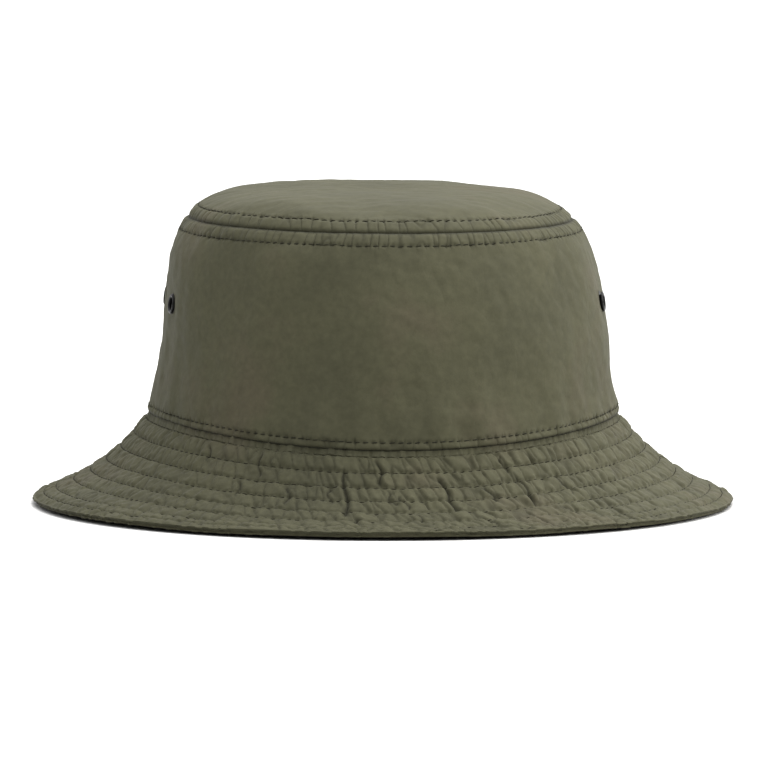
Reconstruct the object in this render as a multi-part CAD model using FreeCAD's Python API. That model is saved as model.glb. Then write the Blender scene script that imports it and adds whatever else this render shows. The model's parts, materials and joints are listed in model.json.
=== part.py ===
"""Bucket hat in millimetres: sewn nylon crown, quilted brim, lining, sweatband and four vent eyelets.

The origin is on the surface that the hat stands on, under the middle of the crown. +Z is up, the
wearer looks along -Y, and the side seams are at +X and -X.

Every cloth piece is a closed skin between two paths. A path is a row of stations, and a station is
the same place on the hat's side profile and on its front profile. Turning through an angle round
the hat goes smoothly from one to the other, so that all rings are ovals that dip at front and back.
"""

import FreeCAD, Part
import math
import os
from FreeCAD import Matrix, Vector

# The crown: half widths at the sides and heights, from the base seam to the tip seam
ASPECT = 1.13  # front-to-back size over side-to-side size
BASE_SEAM = (87.2, 34.1)
TIP_SEAM = (71.0, 106.4)
WALL_BULGE = [(84.6, 48.0), (82.6, 62.0), (81.5, 75.0), (79.1, 89.0), (75.8, 99.6)]
BASE_SEAM_DIP = 6.3  # how much lower the base seam is at front and back than at the sides
DOME_SHOULDERS = [(66.9, 110.4), (61.2, 113.4), (50.5, 115.9), (30.0, 117.5)]
DOME_TOP = 118.0

# Cloth thicknesses
SHELL = 0.5
BRIM_CLOTH = 0.5
INTERLINING = 1.4
LINING = 0.4
SWEATBAND = 0.9
PLAY = 0.05  # left between layers that lie on each other

# The brim's middle surface, from just below the base seam to the centre of the edge fold
BRIM_HALF = BRIM_CLOTH + INTERLINING / 2
BRIM_SIDE = [(89.9, 28.2), (95.5, 22.0), (102.2, 16.2), (109.4, 11.3), (117.0, 7.3), (124.2, 4.2)]
BRIM_SIDE.append((129.1, BRIM_HALF))
BRIM_FRONT = [(102.7, 20.4), (109.0, 14.2), (115.2, 9.7), (121.6, 6.2), (128.4, 3.7), (136.4, 2.4)]
BRIM_FRONT.append((145.8, BRIM_HALF))

# Depths under the wall's outer face, where the lining hangs clear of the eyelets' curls
LINING_DEPTH = 2.0
BAND_DEPTH = LINING_DEPTH + LINING + PLAY
LINING_TRIM = 0.6  # the side lining stops this far short of the seam, under the tip lining

# Sewing
ALLOWANCE = 8.0  # how far the brim's cloth runs up inside the crown wall
CORE_TAPER = 6.0  # the interlining feathers out over this length below the base seam
CORE_START = 1.5  # where the interlining begins below the base seam
CORE_MARGIN = 2.0  # and how far from the edge fold it stops
ROW_FIRST = 2.3  # first brim row, below the base seam
ROW_PITCH = 7.2
ROW_COUNT = 7  # evenly spaced rows; the edge row makes one more
EDGE_ROW = 4.6  # the last row, in from the brim's edge
TIP_ROW = 5.0  # topstitch on the tip, in from the tip seam
WALL_ROW = 4.6  # topstitch on the wall, below the tip seam
BASE_ROW = 2.7  # topstitch on the wall, above the base seam
THREAD_WIDTH = 0.5
THREAD_HEIGHT = 0.35
BOBBIN_HEIGHT = 0.2
BAND_HEIGHT = 32.0  # sweatband, above the base seam
BAND_ROW = 3.0  # stitch below the sweatband's top edge

# Vent eyelets, two beside each side seam
EYELET_RISE = 42.4  # above the base seam, along the wall
EYELET_TURN = 12.8  # degrees from the side seam
BORE = 2.35
BARREL = 2.65
FLANGE = 3.7
FLANGE_HEIGHT = 0.9
CURL = 3.35
CURL_HEIGHT = 0.7
WASHER = 4.1
WASHER_HEIGHT = 0.35
HOLE = 2.75  # punched in the shell
PUNCH = 6.0  # half length of the punch, well past the shell
FLANGE_SEAT = 0.1  # gap between the flat flange and the curved wall
FLANGE_RIM = 0.3  # height of the flange's outer edge
BORE_TOP = 0.4  # where the bore's straight wall ends, above the cloth

STATIONS = 13  # along a path
BRIM_STATIONS = 33
FOLD_STATIONS = 4  # steps round the edge fold
THREAD_STATIONS = 3
ANGLES = 25  # round half the hat
OUT = "parts"


def smooth_step(share):
    """0 up to a share of 0, 1 from a share of 1, and an even curve between them."""
    share = min(max(share, 0.0), 1.0)
    return share * share * (3 - 2 * share)


def profile(points):
    """A smooth curve through (half width, height) points."""
    curve = Part.BSplineCurve()
    curve.interpolate([Vector(r, 0, z) for r, z in points])
    return curve


def front_of(points, dip_at_start):
    """The front profile that goes with a side profile: wider by ASPECT, and lower at its start."""
    rise = points[-1][1] - points[0][1]
    return [(r * ASPECT, z - dip_at_start * (points[-1][1] - z) / rise) for r, z in points]


def on_profile(curve, distance, depth):
    """(half width, height) at a distance along a profile, moved depth towards its left side."""
    t = curve.parameterAtDistance(distance, curve.FirstParameter)
    point = curve.value(t)
    along = curve.tangent(t)[0]
    return point.x - along.z * depth, point.z + along.x * depth


def station(line, fraction, depth=0.0):
    """The place at a fraction of the length of both profiles of a line."""
    return tuple(on_profile(curve, curve.length() * fraction, depth) for curve in line)


def path(line, start, stop, depth, count=STATIONS):
    """Stations between two fractions of a line. depth is a number or a function of the fraction."""
    spots = [start + (stop - start) * i / (count - 1) for i in range(count)]
    return [station(line, spot, depth(spot) if callable(depth) else depth) for spot in spots]


def round_hat(place, angle):
    """The point of a station at an angle in degrees, counted from +X towards +Y."""
    (side_r, side_z), (front_r, front_z) = place
    c = math.cos(math.radians(angle))
    s = math.sin(math.radians(angle))
    return Vector(side_r * c, front_r * s, side_z * c * c + front_z * s * s)


def surface(stations, start, stop):
    angles = [start + (stop - start) * i / (ANGLES - 1) for i in range(ANGLES)]
    smooth = Part.BSplineSurface()
    smooth.interpolate([[round_hat(place, angle) for angle in angles] for place in stations])
    return smooth


def bridge(one, other):
    """The narrow face between an edge of an outer surface and the same edge of an inner one."""
    return Part.makeRuledSurface(one.toShape(), other.toShape())


def half_faces(outer, inner, start, stop):
    """Outer and inner faces of half a ring, the two edge faces, and the two faces at its ends."""
    over = surface(outer, start, stop)
    under = surface(inner, start, stop)
    u0, u1, v0, v1 = over.bounds()
    a0, a1, b0, b1 = under.bounds()
    edges = [bridge(over.uIso(u), under.uIso(a)) for u, a in ((u0, a0), (u1, a1))]
    ends = [bridge(over.vIso(v), under.vIso(b)) for v, b in ((v0, b0), (v1, b1))]
    return [over.toShape(), under.toShape()] + edges, ends


def closed(faces):
    shell = Part.makeShell(faces)
    shell.sewShape()
    solid = Part.makeSolid(shell)
    if solid.Volume < 0:
        solid.reverse()
    return solid


def panel(outer, inner, start):
    """A piece of cloth that goes half way round the hat from an angle."""
    faces, ends = half_faces(outer, inner, start, start + 180)
    return closed(faces + ends)


def ring(outer, inner):
    """A piece that goes all the way round."""
    faces = []
    for start in (0, 180):
        faces += half_faces(outer, inner, start, start + 180)[0]
    return closed(faces)


WALL_POINTS = [BASE_SEAM] + WALL_BULGE + [TIP_SEAM]
WALL = [profile(WALL_POINTS), profile(front_of(WALL_POINTS, BASE_SEAM_DIP))]
WALL_LENGTH = WALL[0].length()


def wall_path(low, high, depth):
    """Stations up the wall between two lengths above the base seam."""
    return path(WALL, low / WALL_LENGTH, high / WALL_LENGTH, depth)


def brim_line():
    """The brim's middle surface with its allowance, which runs up inside the wall's shell."""
    depth = SHELL + PLAY + BRIM_CLOTH + PLAY / 2
    tops = [station(WALL, rise / WALL_LENGTH, depth) for rise in (ALLOWANCE, ALLOWANCE / 2, ALLOWANCE / 8)]
    side = [place[0] for place in tops] + BRIM_SIDE
    front = [place[1] for place in tops] + BRIM_FRONT
    return [profile(side), profile(front)]


BRIM = brim_line()
BRIM_LENGTH = BRIM[0].length()
BRIM_SEAM = ALLOWANCE / BRIM_LENGTH


def brim_spot(width):
    """The fraction of the brim's line at a width below the base seam."""
    return (ALLOWANCE + width) / BRIM_LENGTH


def core_half(fraction):
    """Half the room for the interlining: almost nothing in the allowance, then full after a taper."""
    tapered = smooth_step((fraction - BRIM_SEAM) * BRIM_LENGTH / CORE_TAPER)
    return PLAY / 2 + (INTERLINING - PLAY) / 2 * tapered


def cloth_outside(fraction):
    return core_half(fraction) + BRIM_CLOTH


def fold(radius, side):
    """Stations round the edge fold, from the brim's face outwards. side is +1 for the top cloth."""
    centres = station(BRIM, 1.0)
    starts = station(BRIM, 1.0, side * radius)
    stations = []
    for i in range(1, FOLD_STATIONS + 1):
        places = []
        for (r, z), (start_r, start_z) in zip(centres, starts):
            angle = math.atan2(start_z - z, start_r - r) * (1 - i / FOLD_STATIONS)
            places.append((r + radius * math.cos(angle), z + radius * math.sin(angle)))
        stations.append(tuple(places))
    return stations


def brim_cloth(side, start):
    """Half of the brim's top cloth (side +1) or under cloth (side -1), with its half of the fold."""
    outer = path(BRIM, 0.0, 1.0, lambda spot: side * cloth_outside(spot), BRIM_STATIONS)
    inner = path(BRIM, 0.0, 1.0, lambda spot: side * core_half(spot), BRIM_STATIONS)
    outer += fold(BRIM_HALF, side)
    inner += fold(INTERLINING / 2, side)
    return panel(outer, inner, start)


def interlining():
    """The stiffener between the two brim cloths."""
    start = brim_spot(CORE_START)
    stop = 1.0 - CORE_MARGIN / BRIM_LENGTH
    over = path(BRIM, start, stop, lambda spot: core_half(spot) - PLAY, BRIM_STATIONS)
    under = path(BRIM, start, stop, lambda spot: PLAY - core_half(spot), BRIM_STATIONS)
    return ring(over, under)


def wall_shell(start):
    outer = wall_path(0, WALL_LENGTH, 0)
    inner = wall_path(0, WALL_LENGTH, SHELL)
    return panel(outer, inner, start)


def wall_lining(start):
    outer = wall_path(0, WALL_LENGTH - LINING_TRIM, LINING_DEPTH)
    inner = wall_path(0, WALL_LENGTH - LINING_TRIM, LINING_DEPTH + LINING)
    return panel(outer, inner, start)


def sweatband():
    return ring(wall_path(0, BAND_HEIGHT, BAND_DEPTH), wall_path(0, BAND_HEIGHT, BAND_DEPTH + SWEATBAND))


FAR_SHOULDERS = [(-r, z) for r, z in reversed(DOME_SHOULDERS)]
DOME = profile([TIP_SEAM] + DOME_SHOULDERS + [(0.0, DOME_TOP)] + FAR_SHOULDERS)
DOME_LENGTH = DOME.length() / 2


def oval(section):
    """Turns a section in the XZ plane round Z and stretches it front to back."""
    turned = Part.Face(section).revolve(Vector(0, 0, 0), Vector(0, 0, 1), 360)
    stretch = Matrix()
    stretch.scale(1, ASPECT, 1)
    return turned.transformGeometry(stretch)


def dome_piece(depth, thickness):
    """A domed oval at a depth under the tip's outer face."""
    spots = [DOME_LENGTH * i / (STATIONS - 1) for i in range(STATIONS)]
    faces = []
    for level in (depth, depth + thickness):
        places = [on_profile(DOME, spot, level) for spot in spots[:-1]] + [(0.0, DOME_TOP - level)]
        faces.append(profile(places))
    outer, inner = (curve.toShape() for curve in faces)
    crest = DOME_TOP - depth
    top = Part.LineSegment(Vector(0, 0, crest), Vector(0, 0, crest - thickness)).toShape()
    rim = Part.LineSegment(inner.Curve.StartPoint, outer.Curve.StartPoint).toShape()
    return oval(Part.Wire([outer, top, inner, rim]))


def dome_thread():
    """The topstitch on the tip."""
    corners = []
    for along, height in ((-1, 0), (1, 0), (1, THREAD_HEIGHT), (-1, THREAD_HEIGHT)):
        r, z = on_profile(DOME, TIP_ROW + along * THREAD_WIDTH / 2, -height)
        corners.append(Vector(r, 0, z))
    return oval(Part.makePolygon(corners + corners[:1]))


def thread(line, fraction, length, low, high):
    """A row of stitches as a flat ring, between two depths at a fraction of a line."""
    half = THREAD_WIDTH / 2 / length
    edges = (fraction - half, fraction + half)
    return ring(path(line, *edges, low, THREAD_STATIONS), path(line, *edges, high, THREAD_STATIONS))


def wall_thread(rise):
    return thread(WALL, rise / WALL_LENGTH, WALL_LENGTH, -THREAD_HEIGHT, 0.0)


def brim_thread(width):
    spot = brim_spot(width)
    skin = cloth_outside(spot)
    return thread(BRIM, spot, BRIM_LENGTH, skin + THREAD_HEIGHT, skin)


def bobbin_thread(width):
    spot = brim_spot(width)
    skin = cloth_outside(spot)
    return thread(BRIM, spot, BRIM_LENGTH, -skin, -skin - BOBBIN_HEIGHT)


def band_thread():
    depth = BAND_DEPTH + SWEATBAND
    spot = (BAND_HEIGHT - BAND_ROW) / WALL_LENGTH
    return thread(WALL, spot, WALL_LENGTH, depth, depth + THREAD_HEIGHT)


def wall_frame(angle):
    """The middle of an eyelet on the wall's outer face, and the outward direction there."""
    fraction = EYELET_RISE / WALL_LENGTH
    step = 0.01
    here = round_hat(station(WALL, fraction), angle)
    upward = round_hat(station(WALL, fraction + step), angle) - here
    onward = round_hat(station(WALL, fraction), angle + step) - here
    return here, onward.cross(upward).normalize()


def placed(solid, angle):
    """Moves a solid built about +Z on the origin to an eyelet's place."""
    here, outward = wall_frame(angle)
    solid.Placement = FreeCAD.Placement(here, FreeCAD.Rotation(Vector(0, 0, 1), outward))
    return solid


def turned(edges):
    return Part.Face(Part.Wire(edges)).revolve(Vector(0, 0, 0), Vector(0, 0, 1), 360)


def line_through(*corners):
    points = [Vector(r, 0, z) for r, z in corners]
    return [Part.LineSegment(a, b).toShape() for a, b in zip(points, points[1:])]


def arc_through(*three):
    return [Part.Arc(*(Vector(r, 0, z) for r, z in three)).toShape()]


GRIP = SHELL + PLAY + WASHER_HEIGHT  # from the wall's face to the curl


def eyelet(angle):
    """A metal eyelet: a domed flange outside, a barrel, and a curl rolled over the washer inside."""
    curl_middle = ((BORE + CURL) / 2, -GRIP - CURL_HEIGHT)
    flange_middle = ((BORE + FLANGE) / 2, FLANGE_HEIGHT)
    edges = arc_through((BORE, BORE_TOP), flange_middle, (FLANGE, FLANGE_RIM))
    edges += line_through(
        (FLANGE, FLANGE_RIM), (FLANGE, FLANGE_SEAT), (BARREL, FLANGE_SEAT), (BARREL, -GRIP), (CURL, -GRIP)
    )
    edges += arc_through((CURL, -GRIP), curl_middle, (BORE, -GRIP))
    edges += line_through((BORE, -GRIP), (BORE, BORE_TOP))
    return placed(turned(edges), angle)


def washer(angle):
    top = -GRIP + WASHER_HEIGHT
    corners = ((HOLE, top), (WASHER, top), (WASHER, -GRIP), (HOLE, -GRIP), (HOLE, top))
    return placed(turned(line_through(*corners)), angle)


def punched(cloth, angles):
    """Cuts the eyelets' holes in a panel."""
    for angle in angles:
        cloth = cloth.cut(placed(Part.makeCylinder(HOLE, 2 * PUNCH, Vector(0, 0, -PUNCH)), angle))
    return cloth


FRONT = 180  # panels start at the -X seam and pass the front
BACK = 0
EYELETS = {
    "left_front": -EYELET_TURN,
    "left_back": EYELET_TURN,
    "right_front": 180 + EYELET_TURN,
    "right_back": 180 - EYELET_TURN,
}


def build():
    """Every piece of the hat, by name."""
    pieces = {
        "crown_tip": dome_piece(0.0, SHELL),
        "lining_tip": dome_piece(LINING_DEPTH, LINING),
        "brim_interlining": interlining(),
        "sweatband": sweatband(),
        "tip_topstitch": dome_thread(),
        "wall_topstitch": wall_thread(WALL_LENGTH - WALL_ROW),
        "base_topstitch": wall_thread(BASE_ROW),
        "sweatband_stitch": band_thread(),
    }
    for half, start in (("front", FRONT), ("back", BACK)):
        angles = [angle for name, angle in EYELETS.items() if name.endswith(half)]
        pieces["side_wall_" + half] = punched(wall_shell(start), angles)
        pieces["lining_side_" + half] = wall_lining(start)
        pieces["brim_top_" + half] = brim_cloth(1, start)
        pieces["brim_under_" + half] = brim_cloth(-1, start)
    for name, angle in EYELETS.items():
        pieces["eyelet_" + name] = eyelet(angle)
        pieces["eyelet_washer_" + name] = washer(angle)
    widths = [ROW_FIRST + ROW_PITCH * i for i in range(ROW_COUNT)]
    widths.append(BRIM_LENGTH - ALLOWANCE - EDGE_ROW)
    for number, width in enumerate(widths, 1):
        pieces[f"brim_stitch_row_{number}"] = brim_thread(width)
    pieces["brim_bobbin_threads"] = Part.makeCompound([bobbin_thread(width) for width in widths])
    return pieces


os.makedirs(OUT, exist_ok=True)
for name, shape in build().items():
    shape.exportStep(f"{OUT}/{name}.step")
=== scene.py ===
"""The looks of the bucket hat: sewn crinkled nylon with every stitch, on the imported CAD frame."""

import json
import math

import bpy
import numpy as np
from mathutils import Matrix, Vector
from mathutils.bvhtree import BVHTree


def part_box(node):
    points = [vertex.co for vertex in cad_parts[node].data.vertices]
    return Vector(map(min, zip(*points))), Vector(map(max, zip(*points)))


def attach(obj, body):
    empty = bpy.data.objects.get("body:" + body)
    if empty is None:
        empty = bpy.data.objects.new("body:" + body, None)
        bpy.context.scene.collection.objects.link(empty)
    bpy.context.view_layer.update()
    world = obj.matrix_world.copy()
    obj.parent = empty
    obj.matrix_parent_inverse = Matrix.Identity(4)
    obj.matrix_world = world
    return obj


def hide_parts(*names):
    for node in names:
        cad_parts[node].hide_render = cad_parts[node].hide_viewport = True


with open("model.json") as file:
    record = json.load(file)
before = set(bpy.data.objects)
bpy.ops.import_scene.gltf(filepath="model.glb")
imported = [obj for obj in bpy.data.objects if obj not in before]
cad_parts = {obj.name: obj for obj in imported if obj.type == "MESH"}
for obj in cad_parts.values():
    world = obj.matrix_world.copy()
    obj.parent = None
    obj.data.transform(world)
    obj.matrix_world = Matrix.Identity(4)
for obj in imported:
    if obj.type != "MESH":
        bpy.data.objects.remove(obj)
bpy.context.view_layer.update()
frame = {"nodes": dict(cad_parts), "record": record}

MM = 0.001
BODY = "root"
SEED = 11  # added to each wrinkle's own: brim top 100 on, brim under 200 on, wall 300, tip 400, linings 500

# Grids, in millimetres. Every ring of cloth has the same columns, so that neighbours meet point to point.
COLUMNS = 1920  # round the hat; column 0 is the seam at +X
HALF = COLUMNS // 2
CELL = 0.6  # height of one row of cells
ANGLES = np.arange(COLUMNS) / COLUMNS * 2 * math.pi
FRONT_COLUMNS = np.arange(HALF, COLUMNS + 1) % COLUMNS
BACK_COLUMNS = np.arange(0, HALF + 1)
OFF_SEAM = 0.3  # measuring rays pass beside the planes where two halves meet
FAR = 300.0
INSET = 0.4  # and start this far inside a panel's rims
FIT_DEGREE = 6

# Cloth and sewing, in millimetres
CLOTH = 0.35
BRIM_THICK = 2.4  # both cloths and the interlining
SEAM_THICK = 1.1  # the same at the base seam, where the interlining has feathered out
TAPER = 6.0  # distance over which it feathers
EDGE_THICK = 1.6  # the brim's edge, pressed flat by the edge row
EDGE_TAPER = 8.0
EDGE_LIFT = 1.6  # how much higher the edge lies at the front than at the back
EDGE_CELLS = 5  # cells round a quarter turn of the edge
LINING_DEPTH = 2.0  # under the crown's face
BAND_DEPTH = 2.6
BAND_GAP = 0.5
BAND_HEIGHT = 32.0
BAND_THICK = 0.8
BAND_HEM = 3.0  # the sweatband's stitch lies this far under its upper edge
STITCH_PITCH = 3.3
STITCH_GAP = 0.75  # between two stitches
STITCH_DIVE = 0.55  # how deep a stitch's ends dive into the cloth
THREAD_RADIUS = 0.19
BRIM_THREAD_SUNK = 0.09  # how much deeper the brim's stitches are pulled into the puffed cloth
HOLE = 0.6  # reach of the dimple round a needle hole
ROW_OVERHANG = 0.42  # how far a CAD row's outer corner stands out past its middle
CORE_THICK = 0.12  # the interlining, drawn as a thin core inside the brim
CORE_DEPTH = 1.42
CORE_START = 7.0
PUNCHED = 2.8  # radius of the holes punched for the eyelets
CHANNEL_APART = 41.0  # distance in the noise between two channels, so that each wrinkles on its own
BRIM_RADIUS = 112  # middle radii of the rings, which wrinkles are laid out on
WALL_RADIUS = 86
SHOULDER_RADIUS = 80
TIP_RADIUS = 75
EYELETS = ("left_front", "left_back", "right_front", "right_back")
WALLS = ("side_wall_front", "side_wall_back")
TOPS = ("brim_top_front", "brim_top_back")


# ---------------------------------------------------------------- measuring the frame


def corner(node, high):
    """The lowest or highest corner of a CAD node, in millimetres."""
    return np.array(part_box(node)[1 if high else 0]) / MM


def cad_tree(*names):
    """CAD nodes as one tree for casting rays, in millimetres."""
    points, faces = [], []
    for name in names:
        mesh = frame["nodes"][name].data
        first = len(points)
        points += [v.co / MM for v in mesh.vertices]
        faces += [[first + i for i in face.vertices] for face in mesh.polygons]
    return BVHTree.FromPolygons(points, faces)


def side_hit(tree, origin, way):
    """(half width, height) where a ray in the side profile's plane meets the tree."""
    hit = tree.ray_cast(Vector((origin[0], OFF_SEAM, origin[1])), Vector((way[0], 0, way[1])))[0]
    return (hit.x, hit.z)


def front_hit(tree, origin, way):
    """The same in the front profile's plane."""
    hit = tree.ray_cast(Vector((OFF_SEAM, -origin[0], origin[1])), Vector((0, -way[0], way[1])))[0]
    return (-hit.y, hit.z)


def fitted(points):
    """A smooth curve, as a function of the fraction of its length, near measured points."""
    points = np.array(points)
    steps = np.linalg.norm(np.diff(points, axis=0), axis=1)
    along = np.concatenate([[0], np.cumsum(steps)]) / steps.sum()
    parts = [np.polynomial.Polynomial.fit(along, points[:, k], FIT_DEGREE) for k in (0, 1)]
    return lambda spots: np.stack([part(np.asarray(spots, float)) for part in parts], axis=-1)


def low_rim(nodes):
    """Heights of a panel's lower rim at the side seam and at the front."""
    corners = [v.co / MM for name in nodes for v in frame["nodes"][name].data.vertices]
    return min(c.z for c in corners if abs(c.y) < OFF_SEAM), corner(nodes[0], False)[2]


def wall_line():
    """The wall from the base seam to the tip's seam, on the side profile and on the front one."""
    tree = cad_tree(*WALLS)
    high = corner("crown_tip", False)[2] - INSET
    return tuple(
        fitted([hit(tree, (FAR, z), (-1, 0)) for z in np.linspace(low + INSET, high, 26)])
        for hit, low in zip((side_hit, front_hit), low_rim(WALLS))
    )


def brim_line():
    """The brim's top face from the base seam to where the edge fold begins."""
    tree = cad_tree(*TOPS)
    lines = []
    for hit, seam, edge in (
        (side_hit, WALL[0](0.0)[0], corner("brim_top_front", True)[0]),
        (front_hit, WALL[1](0.0)[0], -corner("brim_top_front", False)[1]),
    ):
        reach = np.linspace(seam + 0.6, edge - 0.7, 40)
        lines.append(fitted([hit(tree, (r, FAR), (0, -1)) for r in reach]))
    return tuple(lines)


def dome_line():
    """The tip from its seam to its middle, on the side profile and on the front one."""
    tree = cad_tree("crown_tip")
    rim = corner("crown_tip", True)[0]
    reach = np.append(rim - np.geomspace(0.25, rim - 1, 40), 0.0)
    side = fitted([side_hit(tree, (r, FAR), (0, -1)) for r in reach])
    return side, lambda spots: side(spots) * [ASPECT, 1]


WALL = wall_line()
BRIM = brim_line()
ASPECT = corner("crown_tip", True)[1] / corner("crown_tip", True)[0]
DOME = dome_line()


# ---------------------------------------------------------------- grids


def line_length(line):
    points = line[0](np.linspace(0, 1, 200))
    return np.linalg.norm(np.diff(points, axis=0), axis=1).sum()


def grid_of(line, spots):
    """Points on every column at fractions of a line's two profiles, in millimetres."""
    side, front = line[0](spots), line[1](spots)
    c, s = np.cos(ANGLES), np.sin(ANGLES)
    return np.stack(
        [side[:, :1] * c, front[:, :1] * s, side[:, 1:] * c * c + front[:, 1:] * s * s], axis=-1
    )


def unit(vectors):
    return vectors / np.maximum(np.linalg.norm(vectors, axis=-1, keepdims=True), 1e-9)


def normals(grid, way):
    """Outward unit normals of a grid. way is +1 where the rows go up the hat and -1 where they go down."""
    onward = np.roll(grid, -1, 1) - np.roll(grid, 1, 1)
    upward = np.gradient(grid, axis=0) * way
    return unit(np.cross(onward, upward))


def lengths_round(ring):
    """Length along a closed ring at every column, and the whole length."""
    steps = np.linalg.norm(np.roll(ring, -1, 0) - ring, axis=1)
    return np.concatenate([[0], np.cumsum(steps)])


def smooth(share):
    share = np.clip(share, 0, 1)
    return share * share * (3 - 2 * share)


def bell(distance, width):
    return np.exp(-((distance / width) ** 2))


# ---------------------------------------------------------------- noise and wrinkles


def ripple(points, scale, seed, waves=44):
    """Even noise at points in space: random waves about one scale long, with a spread of one."""
    rng = np.random.default_rng(SEED * 1000 + seed)
    way = unit(rng.normal(size=(waves, 3))) * (2 * math.pi / scale * rng.uniform(0.55, 1.35, (waves, 1)))
    phase = rng.uniform(0, 2 * math.pi, waves)
    total = np.zeros(points.shape[:-1])
    for k, start in zip(way, phase):
        total += np.cos(points @ k + start)
    return total * math.sqrt(2 / waves)


def creases(points, scale, width, seed):
    """Narrow valleys, -1 at their bottoms, along the lines where noise passes through zero."""
    return -np.exp(-np.abs(ripple(points, scale, seed)) / width)


def unrolled(across, radius, slant, squeeze):
    """Places to take noise from, for wrinkles that run across a ring and lean by slant."""
    turn = ANGLES[None, :] + slant * across / radius
    return np.stack([radius * np.cos(turn), radius * np.sin(turn), across * squeeze + 0 * turn], axis=-1)


def holes(ring, across):
    """Dimples where the needle went through a ring of stitches; across is the distance from it."""
    lengths = lengths_round(ring)
    count = round(lengths[-1] / STITCH_PITCH)
    place = lengths[:-1] / lengths[-1] * count
    along = (place - np.round(place)) * STITCH_PITCH
    return bell(along[None, :], HOLE) * bell(across, HOLE)


# ---------------------------------------------------------------- the brim


def row_width(number):
    """Distance of a brim row below the base seam."""
    reach = corner(f"brim_stitch_row_{number}", True)[0] - ROW_OVERHANG
    spots = np.linspace(0, 1, 2001)
    return spots[np.argmin(np.abs(BRIM[0](spots)[:, 0] - reach))] * BRIM_WIDTH


BRIM_WIDTH = line_length(BRIM)
ROWS = [row_width(number) for number in range(1, 9)]


def graded(stops, cell=CELL, fewest=3):
    """Distances from the first stop to the last, with a row on every stop, and the stops' row numbers."""
    spots, rows = [stops[0]], [0]
    for low, high in zip(stops, stops[1:]):
        count = max(fewest, round((high - low) / cell))
        spots += list(np.linspace(low, high, count + 1)[1:])
        rows.append(len(spots) - 1)
    return np.array(spots), rows


BRIM_STOPS = [0.0] + ROWS + [BRIM_WIDTH]
ACROSS, BRIM_ROWS = graded(BRIM_STOPS)
BRIM_BASE = grid_of(BRIM, ACROSS / BRIM_WIDTH)
BRIM_OUT = normals(BRIM_BASE, -1)
BRIM_TOP_Z = BRIM_BASE[0, :, 2].max()
TURN = np.degrees(ANGLES)


def channel_share(across):
    """For every row: its place between the two stitch rows it lies between, and that channel's number."""
    stops = np.array(BRIM_STOPS)
    number = np.clip(np.searchsorted(stops, across, side="right") - 1, 0, len(stops) - 2)
    low, high = stops[number], stops[number + 1]
    return (across - low) / (high - low), number


SHARE, CHANNEL = channel_share(ACROSS)
ARCH = np.clip(4 * SHARE * (1 - SHARE), 0, 1)  # 0 on the stitch rows, 1 halfway between them
NEAR_ROW = np.min(np.abs(ACROSS[:, None] - np.array(ROWS)[None, :]), axis=1)

# Cloth simulation of one brim skin: the rows hold it down, and the slack cloth between them buckles
SIM_COLUMNS = 480
SIM_CELL = 1.2
SIM_SCALE = 0.01  # the cloth solver works at ten times life size
SIM_FRAMES = 16
SIM_SLACK = 0.03  # how much longer the cloth is than the surface it is sewn to
SIM_PRESSURE = 4.0
SIM_LIMIT = 1.3  # a puff's height is held to this, in millimetres
SIM_START = 0.08  # unevenness at the start, so that the cloth knows which way to buckle
SIM_SHARE = 0.4  # share of the simulated height that is used


def simulated(seed):
    """How far slack cloth puffs and buckles between the stitch rows, on the fine grid."""
    spots, pinned = graded(BRIM_STOPS, SIM_CELL, 2)
    base = grid_of(BRIM, spots / BRIM_WIDTH)[:, :: COLUMNS // SIM_COLUMNS]
    out = unit(normals(grid_of(BRIM, spots / BRIM_WIDTH), -1)[:, :: COLUMNS // SIM_COLUMNS])
    hold = np.zeros(base.shape[:2])
    hold[pinned] = 1
    noise = sum(ripple(base, scale, seed + k) for k, scale in enumerate((3.2, 5.0))) * SIM_START
    start = base + out * (noise * (1 - hold))[..., None]
    count, columns = hold.shape
    index = np.arange(count * columns).reshape(count, columns)
    low, high = index[:-1], index[1:]
    quads = np.stack([low, high, np.roll(high, -1, 1), np.roll(low, -1, 1)], -1).reshape(-1, 4)
    mesh = bpy.data.meshes.new("slack_cloth")
    mesh.from_pydata((start.reshape(-1, 3) * SIM_SCALE).tolist(), [], quads.tolist())
    cloth = bpy.data.objects.new("slack_cloth", mesh)
    bpy.context.scene.collection.objects.link(cloth)
    cloth.vertex_groups.new(name="hold").add(index[hold > 0].ravel().tolist(), 1.0, "REPLACE")
    modifier = cloth.modifiers.new("cloth", "CLOTH")
    settings = modifier.settings
    settings.vertex_group_mass = "hold"
    settings.quality = 5
    settings.mass = 0.15
    settings.tension_stiffness = settings.compression_stiffness = 15
    settings.shear_stiffness = 5
    settings.bending_stiffness = 0.05
    settings.use_pressure = True
    settings.uniform_pressure_force = SIM_PRESSURE
    settings.shrink_min = settings.shrink_max = -SIM_SLACK
    settings.effector_weights.gravity = 0
    modifier.collision_settings.use_collision = False
    modifier.point_cache.frame_start = 1
    modifier.point_cache.frame_end = SIM_FRAMES + 5
    for number in range(1, SIM_FRAMES + 1):
        bpy.context.scene.frame_set(number)
    solved = cloth.evaluated_get(bpy.context.evaluated_depsgraph_get()).to_mesh()
    places = np.zeros(len(solved.vertices) * 3)
    solved.vertices.foreach_get("co", places)
    moved = places.reshape(count, columns, 3) / SIM_SCALE - base
    bpy.data.objects.remove(cloth)
    bpy.context.scene.frame_set(1)
    rise = np.clip((moved * out).sum(-1), -SIM_LIMIT, SIM_LIMIT)
    return finer(rise, spots)


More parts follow.
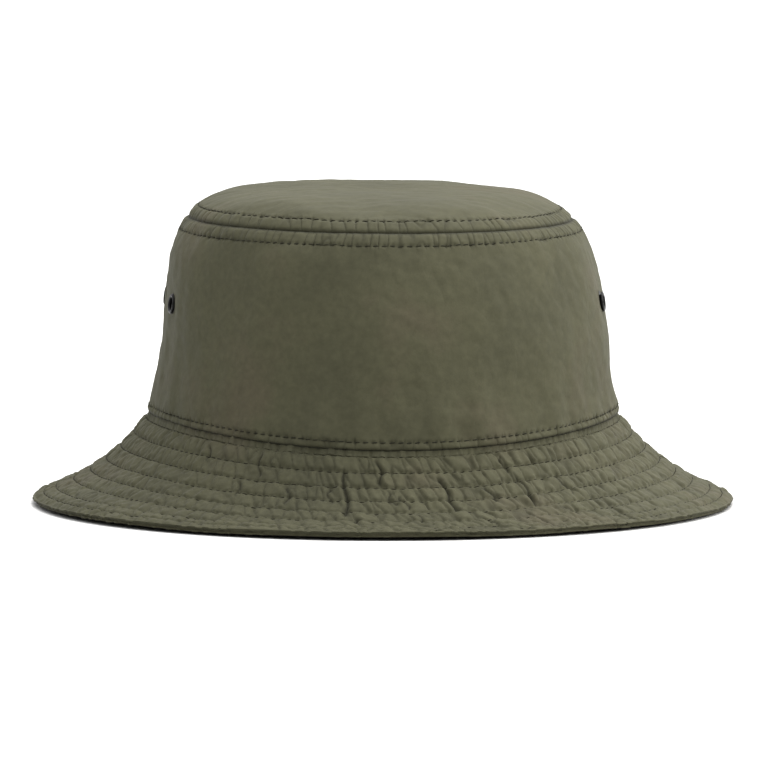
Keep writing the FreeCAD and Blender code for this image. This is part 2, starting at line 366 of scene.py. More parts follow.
def finer(field, spots):
    """A field on the coarse cloth, evened out to the fine grid."""
    waves = np.fft.rfft(field, axis=1)
    wide = np.zeros((len(spots), HALF + 1), complex)
    wide[:, : waves.shape[1]] = waves
    dense = np.fft.irfft(wide, COLUMNS, axis=1) * COLUMNS / SIM_COLUMNS
    rows = np.interp(ACROSS, spots, np.arange(len(spots)))
    low = np.clip(rows.astype(int), 0, len(spots) - 2)
    share = smooth(rows - low)[:, None]
    return dense[low] * (1 - share) + dense[low + 1] * share


# Deep folds across several channels: angle in degrees and distance from the base seam at one end, the same
# at the other end, and depth
FOLDS = [
    (257.0, 3, 259.5, 36, 1.3),
    (264.5, 0.5, 266.0, 15, 1.1),
    (278.0, 8, 281.0, 31, 1.3),
    (269.0, 18, 271.5, 28, 1.0),
    (296.0, 9, 297.5, 30, 1.0),
    (306.5, 12, 307.0, 27, 0.9),
    (236.0, 1, 238.0, 14, 0.9),
    (221.0, 2, 223.5, 11, 0.7),
    (254.0, 14, 255.5, 23, 0.8),
    (260.5, 33, 262.0, 42, 0.9),
    (272.0, 30, 274.0, 41, 0.9),
    (266.5, 15, 268.5, 25, 0.9),
    (288.0, 14, 289.5, 25, 0.9),
    (294.0, 2, 295.0, 11, 0.8),
    (245.5, 15, 247.0, 28, 0.8),
    (233.5, 14, 236.0, 26, 0.7),
    (284.0, 33, 286.5, 43, 0.7),
    (302.0, 30, 303.5, 42, 0.7),
]
FOLD_RADIUS = 115  # turns the angles into distances
FOLD_WANDER = 0.9  # how far a fold strays from its straight line
LIP_AWAY = 2.2  # the raised lips beside a fold: their distance from it and their width
LIP_WIDTH = 1.3


def folded(turn, across, width=0.6, crest=0.35):
    """Depth of the deep folds, with a raised lip beside each."""
    total = np.zeros((len(across), COLUMNS))
    for turn0, across0, turn1, across1, depth in FOLDS:
        share = (across - across0) / (across1 - across0)
        middle = turn0 + (turn1 - turn0) * share
        reach = np.radians((turn[None, :] - middle[:, None] + 180) % 360 - 180) * FOLD_RADIUS
        ends = smooth(share / 0.25) * smooth((1 - share) / 0.25)
        reach = np.abs(reach + FOLD_WANDER * np.sin(share * 9 + turn0)[:, None])
        total -= depth * ends[:, None] * (np.exp(-reach / width) - crest * bell(reach - LIP_AWAY, LIP_WIDTH))
    return total


SEAM_WIDTH = 0.45


def side_seams(grid):
    """The groove of the seams that join the front and back halves, at +X and -X."""
    return bell(grid[..., 1], SEAM_WIDTH)


def quilted(seed, lively):
    """Height of one brim skin over its base surface, before the simulated part, and its painted shade for
    creases, needle holes and seams.
    """
    across = ACROSS[:, None]
    calm = 0.7 + 0.3 * smooth((TURN - 225) / 35)[None, :] * smooth((350 - TURN) / 60)[None, :]
    calm = np.where(TURN[None, :] < 180, 0.8, calm) * lively  # quieter at the sides and the back
    inside = np.minimum(0.25 + ARCH * 1.6, 1)[:, None]
    apart = np.stack([0 * across, 0 * across, CHANNEL[:, None] * CHANNEL_APART], -1)
    slant = -0.3 + 0.35 * (smooth((TURN - 285) / 35) * smooth((360 - TURN) / 15))[None, :]
    shifted = unrolled(across, BRIM_RADIUS, slant, 0.42) + apart
    through = unrolled(across, BRIM_RADIUS, 1.3 * slant, 0.3)
    height = 0.42 * np.sqrt(ARCH)[:, None] * (0.8 + 0.25 * ripple(shifted, 14, seed))
    short, long = creases(shifted, 8.5, 0.3, seed + 1), creases(through, 13, 0.22, seed + 2)
    # sharp is also painted shade: the creases darken the colour where they dip.
    sharp = calm * inside * (0.75 * short + 0.6 * long)
    height += sharp + 0.42 * calm * inside
    height += calm * inside * 0.16 * ripple(shifted, 4.2, seed + 3)
    tucks = ripple(unrolled(across, BRIM_RADIUS, 0.1, 0.25), 3.0, seed + 4)
    height += 0.17 * tucks * bell(NEAR_ROW - 0.9, 1.1)[:, None]
    front = smooth((TURN - 200) / 35) * smooth((350 - TURN) / 30)
    pulled = (0.5 + 0.5 * front)[None, :]  # the rows sink in less at the sides and the back
    height -= 0.22 * pulled * bell(NEAR_ROW, HOLE)[:, None]
    # The needle holes and the side seams are sunk into the height and darkened as painted shade.
    for number, row in enumerate(ROWS, 1):
        pricked = holes(BRIM_BASE[BRIM_ROWS[number]], across - row)
        height -= 0.42 * pulled * pricked
        sharp -= 0.5 * pulled * pricked
    seams = side_seams(BRIM_BASE)
    return height - 0.25 * seams, sharp - 0.8 * seams


BRIM_SLACK = [simulated(SEED), simulated(SEED + 50)]
TO_EDGE = smooth((BRIM_WIDTH - ACROSS) / 1.5)[:, None]  # wrinkles fade out at the edge fold
TO_SEAM = smooth(ACROSS / 1.0)[:, None]  # and, underneath, at the base seam
TOP_DEEPEST = -1.3  # lowest the top skin goes under the CAD's face, clear of the interlining
UNDER_DEEPEST = -0.7
BRIM_LOSS = 0.5  # the skins' base surfaces lie this far under the CAD's, which the puffs then reach
LEAN_HEIGHTS = [0, 28, 63, 95, 107, 113]  # the crown's sideways shift at some heights
LEAN_SHIFTS = [0, 0, 1.0, -0.5, -1.0, -1.3]
TIP_TILT = -0.009
EDGE_HIGH_AT = math.radians(256)  # where round the hat the brim's edge is highest


def lean(grid):
    """The soft crown bows sideways a little with height, and its tip is tilted: higher towards -X."""
    height = grid[..., 2]
    shift = np.interp(height, LEAN_HEIGHTS, LEAN_SHIFTS)
    tilt = TIP_TILT * grid[..., 0] * smooth((height - 98) / 12)
    return grid + np.stack([shift, 0 * shift, tilt], -1)


def settled(skin):
    """The soft brim's edge lies on the ground at the back and lifts a little at the front."""
    forward = (0.5 + 0.5 * np.cos(ANGLES - EDGE_HIGH_AT)) ** 1.5
    lift = EDGE_THICK - BRIM_THICK + EDGE_LIFT * forward + 0.1 * ripple(BRIM_BASE[-1], 60, 7)
    height = skin[..., 2] + lift * smooth(1 - skin[..., 2] / BRIM_TOP_Z)
    return np.concatenate([skin[..., :2], np.maximum(height, 0)[..., None]], -1)


def brim_skins():
    """Grids of the brim's top cloth and its under cloth, from the base seam to the outermost line, and their
    painted shade.
    """
    thick = SEAM_THICK + (BRIM_THICK - SEAM_THICK) * smooth(ACROSS / TAPER)
    thick -= (BRIM_THICK - EDGE_THICK) * smooth((ACROSS - BRIM_WIDTH) / EDGE_TAPER + 1)
    thick = thick[:, None, None]
    tops, top_shade = quilted(100, 1.0)
    unders, under_shade = quilted(200, 0.7)
    tops = tops + folded(TURN, ACROSS) + SIM_SHARE * BRIM_SLACK[0]
    # Painted shade: creases and the deep folds darken the top cloth's colour.
    top_shade = 0.55 * top_shade + 1.25 * folded(TURN, ACROSS, 0.42, 0)
    unders = unders + SIM_SHARE * BRIM_SLACK[1]
    tops = np.maximum(tops - BRIM_LOSS, TOP_DEEPEST)
    unders = np.maximum(unders - BRIM_LOSS, UNDER_DEEPEST)
    top = BRIM_BASE + BRIM_OUT * (tops * TO_EDGE)[..., None]
    under = BRIM_BASE - BRIM_OUT * thick - BRIM_OUT * (unders * TO_EDGE * TO_SEAM)[..., None]
    radius = thick[-1] / 2
    up, rim = BRIM_OUT[-1], BRIM_BASE[-1]
    middle = rim - up * radius
    outward = unit(np.cross(up, np.roll(rim, -1, 0) - np.roll(rim, 1, 0)))
    angles = np.radians(np.linspace(0, 180, 2 * EDGE_CELLS + 1))
    fold = np.array([middle + radius * (math.cos(a) * up + math.sin(a) * outward) for a in angles])
    top = np.concatenate([WALL_TUCK, top, fold[1 : EDGE_CELLS + 1]])
    under = np.concatenate([under, fold[::-1][1 : EDGE_CELLS + 1]])
    top, under = settled(top), settled(under)
    top_shade = np.concatenate([top_shade[:1], top_shade, 0 * fold[1 : EDGE_CELLS + 1, :, 0]])
    under_shade = np.concatenate([under_shade, 0 * fold[1 : EDGE_CELLS + 1, :, 0]])
    return (top, top_shade), (under, under_shade)


# ---------------------------------------------------------------- the crown

WALL_LENGTH = line_length(WALL)
DOME_LENGTH = line_length(DOME)
WALL_ROW = WALL_LENGTH - 4.6  # topstitches on the wall, measured from the base seam
BASE_ROW = 2.7
TIP_ROW = 5.0  # and on the tip, measured from its seam


def eyelet_place(name):
    """The middle of an eyelet on the wall's face, and the outward direction, from the record's mounts."""
    mount = next(m for m in frame["record"]["mounts"] if m["name"] == "vent_" + name)
    return np.array(mount["pos_m"]) / MM, unit(np.array(mount["axis"]))


EYELET_PLACES = {name: eyelet_place(name) for name in EYELETS}


def near_eyelet(grid, width):
    """1 at the eyelets, falling to 0 away from them; the metal holds the cloth flat."""
    total = np.zeros(grid.shape[:2])
    for middle, _ in EYELET_PLACES.values():
        total += bell(np.linalg.norm(grid - middle, axis=-1), width)
    return np.minimum(total, 1)


WALL_UP, WALL_ROWS = graded([0.0, BASE_ROW, WALL_ROW, WALL_LENGTH])
WALL_BASE = grid_of(WALL, WALL_UP / WALL_LENGTH)
WALL_OUT = normals(WALL_BASE, 1)
WALL_TUCK = WALL_BASE[:1] - WALL_OUT[:1] * 0.8 + np.array([0, 0, 1.5])  # the brim's cloth goes up inside
DOME_IN, DOME_ROWS = graded([0.0, TIP_ROW, DOME_LENGTH])
DOME_BASE = grid_of(DOME, DOME_IN / DOME_LENGTH)
DOME_BASE[-1] = DOME_BASE[-1].mean(0)
DOME_OUT = normals(DOME_BASE, 1)
DOME_OUT[-3:] = [0, 0, 1]


def banded(up, stitch):
    """A seam's groove and the band of turned-in cloth up to its topstitch, by distance from the seam."""
    puff = 0.12 * smooth(up / 0.9) * smooth((stitch - up) / 1.0)
    return puff - 0.38 * bell(up, 0.4) - 0.24 * bell(up - stitch, 0.5)


def puckers(up, radius, stitch, seed):
    """Short sharp folds across a seam's turned-in band, running out past its topstitch; their height, and
    the folds alone as painted shade.
    """
    fade = smooth(up / 0.7) * smooth((stitch + 2.2 - up) / 2.2)
    sharp = fade * creases(unrolled(up, radius, 0.15, 0.3), 6.0, 0.3, seed)
    fine = ripple(unrolled(up, radius, -0.1, 0.35), 3.0, seed + 40)
    return 0.45 * sharp + fade * (0.17 + 0.07 * fine), sharp


def wall_height():
    """Height of the wall's cloth over its base surface, and its painted shade."""
    up = WALL_UP[:, None]
    down = WALL_LENGTH - up
    roll = unrolled(up, WALL_RADIUS, 0.0, 0.3)
    flat = unrolled(up, WALL_RADIUS, 0.25, 1.0)
    height = 0.5 * ripple(WALL_BASE, 46, 301) * smooth(up / 12) * smooth(down / 12)
    height += 0.42 * ripple(roll, 13, 302) * np.exp(-up / 20) * smooth(up / 4)
    height += 0.22 * ripple(roll, 10, 303) * np.exp(-down / 12) * smooth(down / 5)
    height += 0.07 * ripple(flat, 7, 304) + 0.06 * (creases(flat, 16, 0.1, 305) + 0.1)
    low, low_shade = puckers(up, WALL_RADIUS, BASE_ROW, 306)
    high, high_shade = puckers(down, SHOULDER_RADIUS, WALL_LENGTH - WALL_ROW, 307)
    height += low + high
    # Painted shade: darker in the puckers, along the base seam and the tip's seam, in the needle holes and
    # the side seams.
    shade = 0.35 * low_shade + 0.5 * high_shade - 1.1 * bell(up, 0.5) - 0.75 * bell(down, 0.35)
    height += banded(up, BASE_ROW) + banded(down, WALL_LENGTH - WALL_ROW)
    for row in WALL_ROWS[1:3]:
        pricked = holes(WALL_BASE[row], up - WALL_UP[row])
        height -= 0.34 * pricked
        shade -= 0.5 * pricked
    seams = side_seams(WALL_BASE)
    height = height * (1 - near_eyelet(WALL_BASE, 4.2)) - 0.3 * near_eyelet(WALL_BASE, 5.5) - 0.3 * seams
    return height, shade - 0.9 * seams


def dome_height():
    """Height of the tip's cloth over its base surface, and its painted shade."""
    inward = DOME_IN[:, None]
    height = 0.35 * ripple(DOME_BASE * [1, 1, 0.3], 38, 401) * smooth(inward / 10)
    height += 0.1 * ripple(DOME_BASE * [1, 1.6, 0.3], 11, 402) * smooth(inward / 5)
    height += 0.1 * (creases(DOME_BASE * [0.7, 1.4, 0.3], 21, 0.1, 403) + 0.1) * smooth(inward / 6)
    band, shade = puckers(inward, TIP_RADIUS, TIP_ROW, 404)
    height += band - 0.45 * smooth((inward - 20) / 35) + banded(inward, TIP_ROW)
    pricked = holes(DOME_BASE[DOME_ROWS[1]], inward - TIP_ROW)
    # Painted shade: darker in the puckers, in the needle holes and along the tip's seam.
    return height - 0.34 * pricked, 0.5 * shade - 0.5 * pricked - 0.75 * bell(inward, 0.35)


def crown_skins():
    """Grids of the wall and the tip, which share the ring of points on their seam, and their painted shade.
    """
    wall_rise, wall_shade = wall_height()
    dome_rise, dome_shade = dome_height()
    wall = WALL_BASE + WALL_OUT * wall_rise[..., None]
    dome = DOME_BASE + DOME_OUT * dome_rise[..., None]
    wall[-1] = dome[0] = (wall[-1] + dome[0]) / 2
    dome[-1] = dome[-1].mean(0)
    return (lean(wall), wall_shade), (lean(dome), dome_shade)


def inner_skin(base, out, depth, seed, rough):
    """A lining or band under a crown skin."""
    wave = rough * ripple(base, 24, seed) + rough * 0.4 * ripple(base, 8, seed + 1)
    return lean(base - out * (depth - wave)[..., None])


# ---------------------------------------------------------------- meshes


def finished(name, mesh, look):
    """A shaded piece that rides on the hat and stands for the CAD node of the same name."""
    mesh.validate()
    for polygon in mesh.polygons:
        polygon.use_smooth = True
    piece = bpy.data.objects.new(name, mesh)
    bpy.context.scene.collection.objects.link(piece)
    piece.data.materials.append(look)
    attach(piece, BODY)
    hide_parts(name)
    return piece


def cloth_piece(name, grid, columns, look, thick=CLOTH, downward=False, keep=None, shade=None):
    """A panel of cloth from some columns of a grid, standing for the CAD node of its name.

    The weave follows its UV map, in metres. Its fold attribute, taken from shade, is painted shade that
    darkens its colour in sharp folds, seam grooves and needle holes.
    """
    part = grid[:, columns]
    rows, count = part.shape[:2]
    closed = count == COLUMNS
    index = np.arange(rows * count).reshape(rows, count)
    after = np.roll(index, -1, 1) if closed else index[:, 1:]
    here = index if closed else index[:, :-1]
    quads = np.stack([here[:-1], after[:-1], after[1:], here[1:]], -1).reshape(-1, 4)
    if downward:  # the grid's rows go down the hat, so its faces are turned over
        quads = quads[:, ::-1]
    points = part.reshape(-1, 3)
    if keep is not None:
        quads = quads[keep(points)[quads].all(1)]
    used, quads = np.unique(quads, return_inverse=True)
    quads = quads.reshape(-1, 4)
    mesh = bpy.data.meshes.new(name)
    mesh.from_pydata((points[used] * MM).tolist(), [], quads.tolist())
    step = np.linalg.norm(np.diff(part, axis=0), axis=-1).mean(1)
    down = np.concatenate([[0], np.cumsum(step)])
    along = np.arange(count) * np.linalg.norm(part[:, 1:] - part[:, :-1], axis=-1).mean()
    flat = np.stack(np.broadcast_arrays(along[None, :], down[:, None]), -1).reshape(-1, 2)[used] * MM
    layer = mesh.uv_layers.new(name="cut")
    layer.data.foreach_set("uv", flat[quads.ravel()].ravel())
    # Painted shade: the shade grid, turned into the fold attribute that darkens the cloth's colour.
    depth = np.zeros(part.shape[:2]) if shade is None else shade[:, columns]
    deep = np.clip(-depth, 0, 1).reshape(-1)[used]
    mesh.attributes.new("fold", "FLOAT", "POINT").data.foreach_set("value", deep)
    piece = finished(name, mesh, look)
    shell = piece.modifiers.new("thickness", "SOLIDIFY")
    shell.thickness = thick * MM
    shell.offset = -1
    return piece


TUBE_SIDES = 6
TUBE_STEPS = 7
METAL_SIDES = 64


def stitches(ring, out, seed, deep=0.0):
    """Points and faces of a row of stitches on a closed ring of places, a gap between every two.

    Each is a short tube whose ends dive into the cloth. deep is how far all of it is sunk.
    """
    rng = np.random.default_rng(SEED + seed)
    lengths = lengths_round(ring)
    count = round(lengths[-1] / STITCH_PITCH)
    pitch = lengths[-1] / count
    share = np.linspace(0, 1, TUBE_STEPS)
    start = np.arange(count)[:, None] * pitch + STITCH_GAP / 2 + rng.normal(0, 0.06, (count, 1))
    along = (start + share * (pitch - STITCH_GAP)) % lengths[-1]
    columns = np.interp(along, lengths, np.arange(COLUMNS + 1))
    low = columns.astype(int) % COLUMNS
    part = (columns - np.floor(columns))[..., None]
    place = ring[low] * (1 - part) + ring[(low + 1) % COLUMNS] * part
    up = unit(out[low] * (1 - part) + out[(low + 1) % COLUMNS] * part)
    onward = unit(np.gradient(place, axis=1))
    side = unit(np.cross(up, onward))
    bow = 1 - (2 * share - 1) ** 4
    lift = THREAD_RADIUS * (1 + 0.25 * bow) - STITCH_DIVE * (1 - bow) - deep
    slant = (share - 0.5) * 0.25 + rng.normal(0, 0.05, (count, 1))
    place = place + up * lift[None, :, None] + side * slant[..., None]
    turn = np.arange(TUBE_SIDES) / TUBE_SIDES * 2 * math.pi
    size = THREAD_RADIUS * (0.65 + 0.35 * bow)[None, :, None, None]
    loop = np.cos(turn)[:, None] * side[:, :, None] + np.sin(turn)[:, None] * up[:, :, None]
    points = (place[:, :, None] + size * loop).reshape(-1, 3)
    index = np.arange(count * TUBE_STEPS * TUBE_SIDES).reshape(count, TUBE_STEPS, TUBE_SIDES)
    a, b = index[:, :-1], index[:, 1:]
    quads = np.stack([a, np.roll(a, -1, 2), np.roll(b, -1, 2), b], -1).reshape(-1, 4)
    return points, quads


def thread_piece(name, rows):
    """Rows of stitches as one piece."""
    points, quads = [], []
    for row_points, row_quads in rows:
        quads.append(row_quads + sum(len(p) for p in points))
        points.append(row_points)
    mesh = bpy.data.meshes.new(name)
    mesh.from_pydata((np.concatenate(points) * MM).tolist(), [], np.concatenate(quads).tolist())
    finished(name, mesh, THREAD)


def turned(name, outline, middle, axis):
    """A ring of metal: a closed outline of (radius, height) turned about an eyelet's axis."""
    across = unit(np.cross(axis, [0, 0, 1]))
    other = np.cross(axis, across)
    turn = np.arange(METAL_SIDES) / METAL_SIDES * 2 * math.pi
    spoke = np.cos(turn)[:, None] * across + np.sin(turn)[:, None] * other
    outline = np.array(outline)
    points = middle + outline[:, None, :1] * spoke + outline[:, None, 1:] * axis
    rows = len(outline)
    index = np.arange(rows * METAL_SIDES).reshape(rows, METAL_SIDES)
    below = np.roll(index, -1, 0)
    quads = np.stack([index, below, np.roll(below, -1, 1), np.roll(index, -1, 1)], -1).reshape(-1, 4)
    mesh = bpy.data.meshes.new(name)
    mesh.from_pydata((points.reshape(-1, 3) * MM).tolist(), [], quads.tolist())
    finished(name, mesh, METAL)


def arc(middle, radius, start, stop, count):
    """Points on part of an ellipse, from one angle to another in degrees."""
    angles = np.radians(np.linspace(start, stop, count))
    return [(middle[0] + radius[0] * math.cos(a), middle[1] + radius[1] * math.sin(a)) for a in angles]


# ---------------------------------------------------------------- materials


def material(name, build):
    """A new material, whose nodes are made by build."""
    made = bpy.data.materials.new(name)
    made.use_nodes = True
    tree = made.node_tree
    build(tree, tree.nodes["Principled BSDF"])
    return made


def add(tree, kind, values=(), links=(), **settings):
    """A node with its settings, the values of some inputs, and links into others."""
    node = tree.nodes.new(kind)
    for key, value in settings.items():
        setattr(node, key, value)
    for key, value in dict(values).items():
        node.inputs[key].default_value = value
    for key, output in dict(links).items():
        tree.links.new(output, node.inputs[key])
    return node


def noise(tree, vector, scale, detail=3.0, rough=0.55, kind="FBM"):
    """Procedural noise between 0 and 1; scale is in waves to a metre."""
    values = {"Scale": scale, "Detail": detail, "Roughness": rough}
    return add(tree, "ShaderNodeTexNoise", values, {"Vector": vector}, noise_type=kind).outputs["Fac"]


def ramp(tree, value, stops):
    """Colours at places between 0 and 1, picked by a value."""
    node = add(tree, "ShaderNodeValToRGB", links={"Fac": value})
    for element, (place, colour) in zip(node.color_ramp.elements, (stops[0], stops[-1])):
        element.position = place
        element.color = (*colour, 1)
    for place, colour in stops[1:-1]:
        node.color_ramp.elements.new(place).color = (*colour, 1)
    return node.outputs["Color"]


def bump(tree, height, distance, strength=1.0, under=None):
    """Normals bumped by a height, on top of the bump under it if there is one."""
    links = {"Height": height} if under is None else {"Height": height, "Normal": under}
    values = {"Distance": distance, "Strength": strength}
    return add(tree, "ShaderNodeBump", values, links).outputs["Normal"]


def maths(tree, operation, *inputs):
    """A maths node whose inputs are outputs of other nodes, or plain numbers."""
    node = add(tree, "ShaderNodeMath", operation=operation)
    for number, value in enumerate(inputs):
        if isinstance(value, (int, float)):
            node.inputs[number].default_value = value
        else:
            tree.links.new(value, node.inputs[number])
    return node.outputs[0]


def tinted(tree, colour, by, factor=1.0):
    """A colour multiplied by another, each an output or plain RGBA; the factor may be an output too."""
    node = add(tree, "ShaderNodeMix", data_type="RGBA", blend_type="MULTIPLY")
    for key, value in (("Factor", factor), ("A", colour), ("B", by)):
        if isinstance(value, (float, tuple)):
            node.inputs[key].default_value = value
        else:
            tree.links.new(value, node.inputs[key])
    return node.outputs["Result"]


def weave(tree, pitch, twill=False):
    """Over-and-under height of a cloth on its UV map; a twill's ribs run aslant."""
    uv = add(tree, "ShaderNodeUVMap", uv_map="cut").outputs["UV"]
    split = add(tree, "ShaderNodeSeparateXYZ", links={0: uv}).outputs
    sources = (maths(tree, "ADD", split["X"], split["Y"]) if twill else split["X"], split["Y"])
    waves = [maths(tree, "SINE", maths(tree, "MULTIPLY", source, 2 * math.pi / pitch)) for source in sources]
    return maths(tree, "MULTIPLY", *waves)


# Painted shade: the fold attribute darkens a cloth's colour down to this share.
FOLD_SHADE = 0.33  # share of its brightness cloth keeps at the bottom of a sharp fold, where no light gets
WEAVE_DEPTH = 0.00003  # bumps of a cloth, in metres
FINE_DEPTH = 0.00012
BROAD_DEPTH = 0.00035


def fabric(name, colours, pitch, rough, sheen, crinkle, twill=False):
    """Woven cloth: blotches of three colours, painted shade in folds from the fold attribute, a weave, and
    fine crinkles.
    """

    def build(tree, shader):
        place = add(tree, "ShaderNodeTexCoord").outputs["Object"]
        cloudy = ramp(tree, noise(tree, place, 22, 4), list(zip((0.34, 0.55, 0.72), colours)))
        grain = ramp(tree, noise(tree, place, 420, 3), [(0.3, (0.9,) * 3), (0.7, (1.08,) * 3)])
        # Painted shade: the fold attribute darkens the colour in folds, seam grooves and needle holes, where
        # little light gets.
        fold = add(tree, "ShaderNodeAttribute", attribute_name="fold").outputs["Fac"]
        painted_fold_shade = (FOLD_SHADE, FOLD_SHADE, FOLD_SHADE, 1)
        tree.links.new(tinted(tree, tinted(tree, cloudy, grain), painted_fold_shade, fold), shader.inputs["Base Color"])
        ridged = noise(tree, place, 120, 4, 0.5, "RIDGED_MULTIFRACTAL")
        woven = bump(tree, weave(tree, pitch, twill), WEAVE_DEPTH, 0.5)
        fine = bump(tree, noise(tree, place, 480, 4, 0.6), FINE_DEPTH * crinkle, 0.8, woven)
        broad = bump(tree, ridged, BROAD_DEPTH * crinkle, 0.6, fine)
        tree.links.new(broad, shader.inputs["Normal"])
        shader.inputs["Roughness"].default_value = rough
        shader.inputs["Specular IOR Level"].default_value = 0.1
        shader.inputs["Sheen Weight"].default_value = sheen
        shader.inputs["Sheen Roughness"].default_value = 0.45

    return material(name, build)


def plain_look(tones, scale, fine, depth, strength, rough, specular):
    """Thread or metal: two tones a little mixed, and fine bumps."""

    def build(tree, shader):
        place = add(tree, "ShaderNodeTexCoord").outputs["Object"]
        tree.links.new(ramp(tree, noise(tree, place, *scale), tones), shader.inputs["Base Color"])
        bumps = bump(tree, noise(tree, place, *fine), depth, strength)
        tree.links.new(bumps, shader.inputs["Normal"])
        shader.inputs["Roughness"].default_value = rough
        shader.inputs["Specular IOR Level"].default_value = specular

    return build


NYLON_TONES = ((0.051, 0.050, 0.0295), (0.059, 0.0575, 0.0335), (0.065, 0.0585, 0.0365))
TAFFETA_TONES = ((0.036, 0.035, 0.024), (0.042, 0.041, 0.028), (0.044, 0.041, 0.029))
TWILL_TONES = ((0.044, 0.042, 0.028), (0.052, 0.05, 0.034), (0.054, 0.049, 0.034))
STIFFENER_TONES = ((0.5, 0.49, 0.46), (0.56, 0.55, 0.51), (0.58, 0.56, 0.52))
THREAD_TONES = [(0.3, (0.013, 0.0125, 0.008)), (0.7, (0.023, 0.022, 0.014))]
METAL_TONES = [(0.35, (0.003, 0.003, 0.003)), (0.7, (0.007, 0.007, 0.0065))]

SHELL = fabric("crinkled_nylon", NYLON_TONES, 0.00055, 0.7, 0.03, 1.0)
LINING = fabric("lining_taffeta", TAFFETA_TONES, 0.0004, 0.45, 0.1, 0.6)
TWILL = fabric("sweatband_twill", TWILL_TONES, 0.0009, 0.8, 0.25, 0.3, True)
STIFFENER = fabric("stiffener", STIFFENER_TONES, 0.0008, 0.9, 0.1, 0.5)
THREAD = material("sewing_thread", plain_look(THREAD_TONES, (300, 2), (2600, 2), 0.00005, 1.0, 0.7, 0.1))
LACQUER = plain_look(METAL_TONES, (500, 3), (1400, 3), 0.00002, 0.4, 0.3, 0.12)
METAL = material("black_lacquered_metal", LACQUER)


# ---------------------------------------------------------------- the pieces


def clear_of_eyelets(points):
    """False inside the punched holes. Points at a hole's rim are moved onto its circle."""
    clear = np.ones(len(points), bool)
    for middle, axis in EYELET_PLACES.values():
        away = points - lean(middle)
        depth = away @ axis
        flat = away - depth[:, None] * axis
        reach = np.linalg.norm(flat, axis=1)
        near = np.abs(depth) < 8
        clear &= ~(near & (reach < PUNCHED - CELL / 2))
        rim = near & clear & (reach < PUNCHED + CELL / 2)
        points[rim] += flat[rim] * (PUNCHED / reach[rim] - 1)[:, None]
    return clear


HALVES = (("front", FRONT_COLUMNS), ("back", BACK_COLUMNS))
WHOLE = np.arange(COLUMNS)

(top, top_shade), (under, under_shade) = brim_skins()
(wall, wall_shade), (dome, dome_shade) = crown_skins()
wall_lining = inner_skin(WALL_BASE, WALL_OUT, LINING_DEPTH, 501, 0.25)
tip_lining = inner_skin(DOME_BASE, DOME_OUT, LINING_DEPTH, 503, 0.3)
band_rows = WALL_UP <= BAND_HEIGHT
band = inner_skin(WALL_BASE[band_rows], WALL_OUT[band_rows], BAND_DEPTH + BAND_GAP, 505, 0.2)
core_rows = (ACROSS > CORE_START) & (ACROSS < BRIM_WIDTH - EDGE_TAPER)
core = settled(BRIM_BASE - BRIM_OUT * CORE_DEPTH)[core_rows]

for half, columns in HALVES:
    quilt = cloth_piece("brim_top_" + half, top, columns, SHELL, downward=True, shade=top_shade)
    quilt = cloth_piece("brim_under_" + half, under, columns, SHELL, shade=under_shade)
    cloth_piece("side_wall_" + half, wall, columns, SHELL, keep=clear_of_eyelets, shade=wall_shade)
    cloth_piece("lining_side_" + half, wall_lining, columns, LINING)
cloth_piece("crown_tip", dome, WHOLE, SHELL, shade=dome_shade)
cloth_piece("lining_tip", tip_lining, WHOLE, LINING)
cloth_piece("sweatband", band, WHOLE, TWILL, thick=BAND_THICK)
cloth_piece("brim_interlining", core, WHOLE, STIFFENER, thick=CORE_THICK, downward=True)

bobbins = []
top_out, under_out = normals(top, -1), -normals(under, -1)
for number, row in enumerate(BRIM_ROWS[1:9], 1):
    over = row + 1  # the top cloth has one row more, tucked in at the base seam
    sewn = stitches(top[over], top_out[over], number, BRIM_THREAD_SUNK)
    thread_piece(f"brim_stitch_row_{number}", [sewn])
    bobbins.append(stitches(under[row], under_out[row], 20 + number))
thread_piece("brim_bobbin_threads", bobbins)
wall_out, dome_out = normals(wall, 1), normals(dome, 1)
base_row, wall_row, tip_row = WALL_ROWS[1], WALL_ROWS[2], DOME_ROWS[1]
thread_piece("base_topstitch", [stitches(wall[base_row], wall_out[base_row], 31)])
thread_piece("wall_topstitch", [stitches(wall[wall_row], wall_out[wall_row], 32)])
thread_piece("tip_topstitch", [stitches(dome[tip_row], dome_out[tip_row], 33)])
hem = int(np.argmin(np.abs(WALL_UP - BAND_HEIGHT + BAND_HEM)))
inside = stitches(band[hem] - WALL_OUT[hem] * BAND_THICK, -WALL_OUT[hem], 34)
thread_piece("sweatband_stitch", [inside])

# Outlines of (radius, height over the cloth): the barrel with its rounded flange, and the washer
FLANGE = [(2.35, -0.7), (2.35, 0.35)] + arc((3.05, 0.3), (0.7, 0.6), 165, 10, 12)
FLANGE += [(3.72, 0.1), (2.65, 0.02), (2.65, -0.7)]
WASHER = [(2.75, -0.5), (4.1, -0.5), (4.1, -0.8), (2.75, -0.8)]
for name, (middle, axis) in EYELET_PLACES.items():
    turned("eyelet_" + name, FLANGE, lean(middle), axis)
    turned("eyelet_washer_" + name, WASHER, lean(middle), axis)


# ---------------------------------------------------------------- stage, light and camera


FLOOR_REACH = 6.0
FLOOR_GREY = (0.5, 0.5, 0.5, 1)
GLOW_FROM = 0.1283  # half widths of the oval where the floor's glow starts and where it is full
GLOW_FULL = 0.1335
GLOW = 0.4
LIGHT_TINT = (1, 0.975, 0.9)


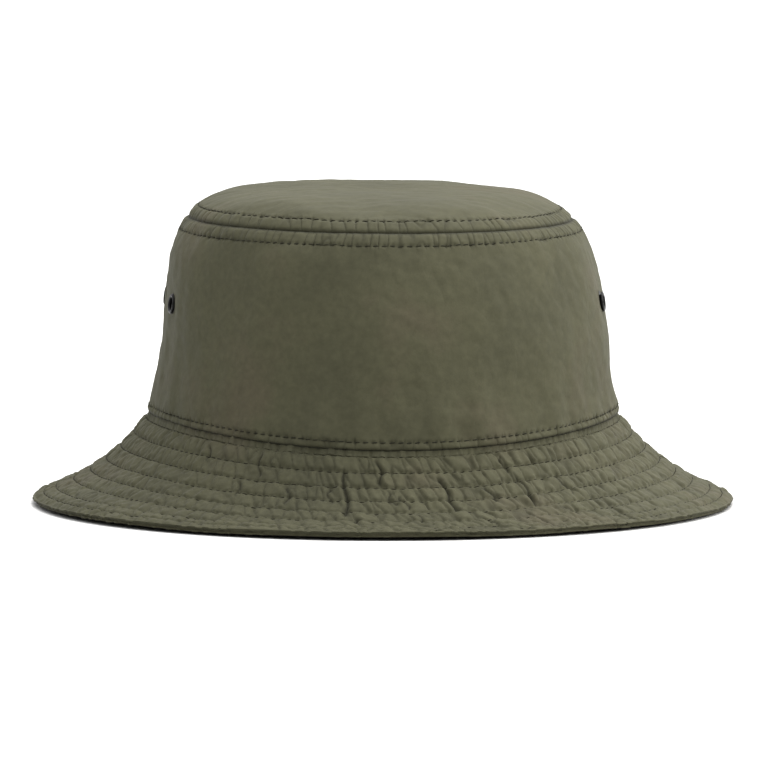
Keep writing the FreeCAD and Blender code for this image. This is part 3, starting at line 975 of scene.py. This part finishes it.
def stage_floor():
    """A floor that glows outside the brim's oval, to be white as in the photo."""
    r = FLOOR_REACH
    mesh = bpy.data.meshes.new("floor")
    mesh.from_pydata([(-r, -r, 0), (r, -r, 0), (r, r, 0), (-r, r, 0)], [], [(0, 1, 2, 3)])
    floor = bpy.data.objects.new("floor", mesh)
    bpy.context.scene.collection.objects.link(floor)

    def look(tree, shader):
        shader.inputs["Base Color"].default_value = FLOOR_GREY
        shader.inputs["Emission Color"].default_value = (1, 1, 1, 1)
        place = add(tree, "ShaderNodeTexCoord").outputs["Object"]
        oval = add(tree, "ShaderNodeVectorMath", {1: (1, 1 / ASPECT, 0)}, {0: place}, operation="MULTIPLY")
        away = add(tree, "ShaderNodeVectorMath", links={0: oval.outputs[0]}, operation="LENGTH")
        ends = {"From Min": GLOW_FROM, "From Max": GLOW_FULL, "To Min": 0.0, "To Max": GLOW}
        value = {"Value": away.outputs["Value"]}
        glow = add(tree, "ShaderNodeMapRange", ends, value, interpolation_type="SMOOTHSTEP")
        tree.links.new(glow.outputs["Result"], shader.inputs["Emission Strength"])
        shader.inputs["Roughness"].default_value = 0.9
        shader.inputs["Specular IOR Level"].default_value = 0.1

    floor.data.materials.append(material("pale_floor", look))


def soft_light(name, place, size, power):
    """A square lamp aimed at the middle of the hat."""
    data = bpy.data.lights.new(name, "AREA")
    data.size = size
    data.energy = power
    data.color = LIGHT_TINT
    light = bpy.data.objects.new(name, data)
    light.location = place
    light.rotation_euler = (Vector((0, 0, 0.06)) - Vector(place)).to_track_quat("-Z", "Y").to_euler()
    bpy.context.scene.collection.objects.link(light)


def studio_sky():
    """White light from all round, brighter from above and from +X."""
    world = bpy.data.worlds.new("studio")
    world.use_nodes = True
    tree = world.node_tree
    sky = tree.nodes["Background"]
    sky.inputs["Color"].default_value = (1, 1, 1, 1)
    way = add(tree, "ShaderNodeTexCoord").outputs["Generated"]
    split = add(tree, "ShaderNodeSeparateXYZ", links={0: way}).outputs
    overhead = add(tree, "ShaderNodeMapRange", {"To Min": 0.37, "To Max": 2.86}, {"Value": split["Z"]})
    ends = {"From Min": -1.0, "To Min": 0.46, "To Max": 1.4}
    sideways = add(tree, "ShaderNodeMapRange", ends, {"Value": split["X"]})
    both = maths(tree, "MULTIPLY", overhead.outputs["Result"], sideways.outputs["Result"])
    tree.links.new(both, sky.inputs["Strength"])
    bpy.context.scene.world = world
    bpy.context.scene.view_settings.view_transform = "Standard"


stage_floor()
soft_light("key", (0.5, 0.5, 2.2), 1.2, 38)
soft_light("right", (2.5, -0.5, 1.0), 0.9, 31)
studio_sky()

CAMERA_HEIGHT = math.radians(4.95)  # looking down by this much
CAMERA_TURN = math.radians(-3.6)  # and from a little to the left of the front
CAMERA_AWAY = 5.0
AIM = Vector((0.0004, 0, 0.0441))
lens = bpy.data.cameras.new("camera")
lens.lens = 632.8
lens.sensor_width = 36
lens.clip_end = 50
camera = bpy.data.objects.new("camera", lens)
level = math.cos(CAMERA_HEIGHT)
away = Vector((math.sin(CAMERA_TURN) * level, -math.cos(CAMERA_TURN) * level, math.sin(CAMERA_HEIGHT)))
camera.location = AIM + CAMERA_AWAY * away
camera.rotation_euler = (math.pi / 2 - CAMERA_HEIGHT, 0, CAMERA_TURN)
bpy.context.scene.collection.objects.link(camera)
bpy.context.scene.camera = camera
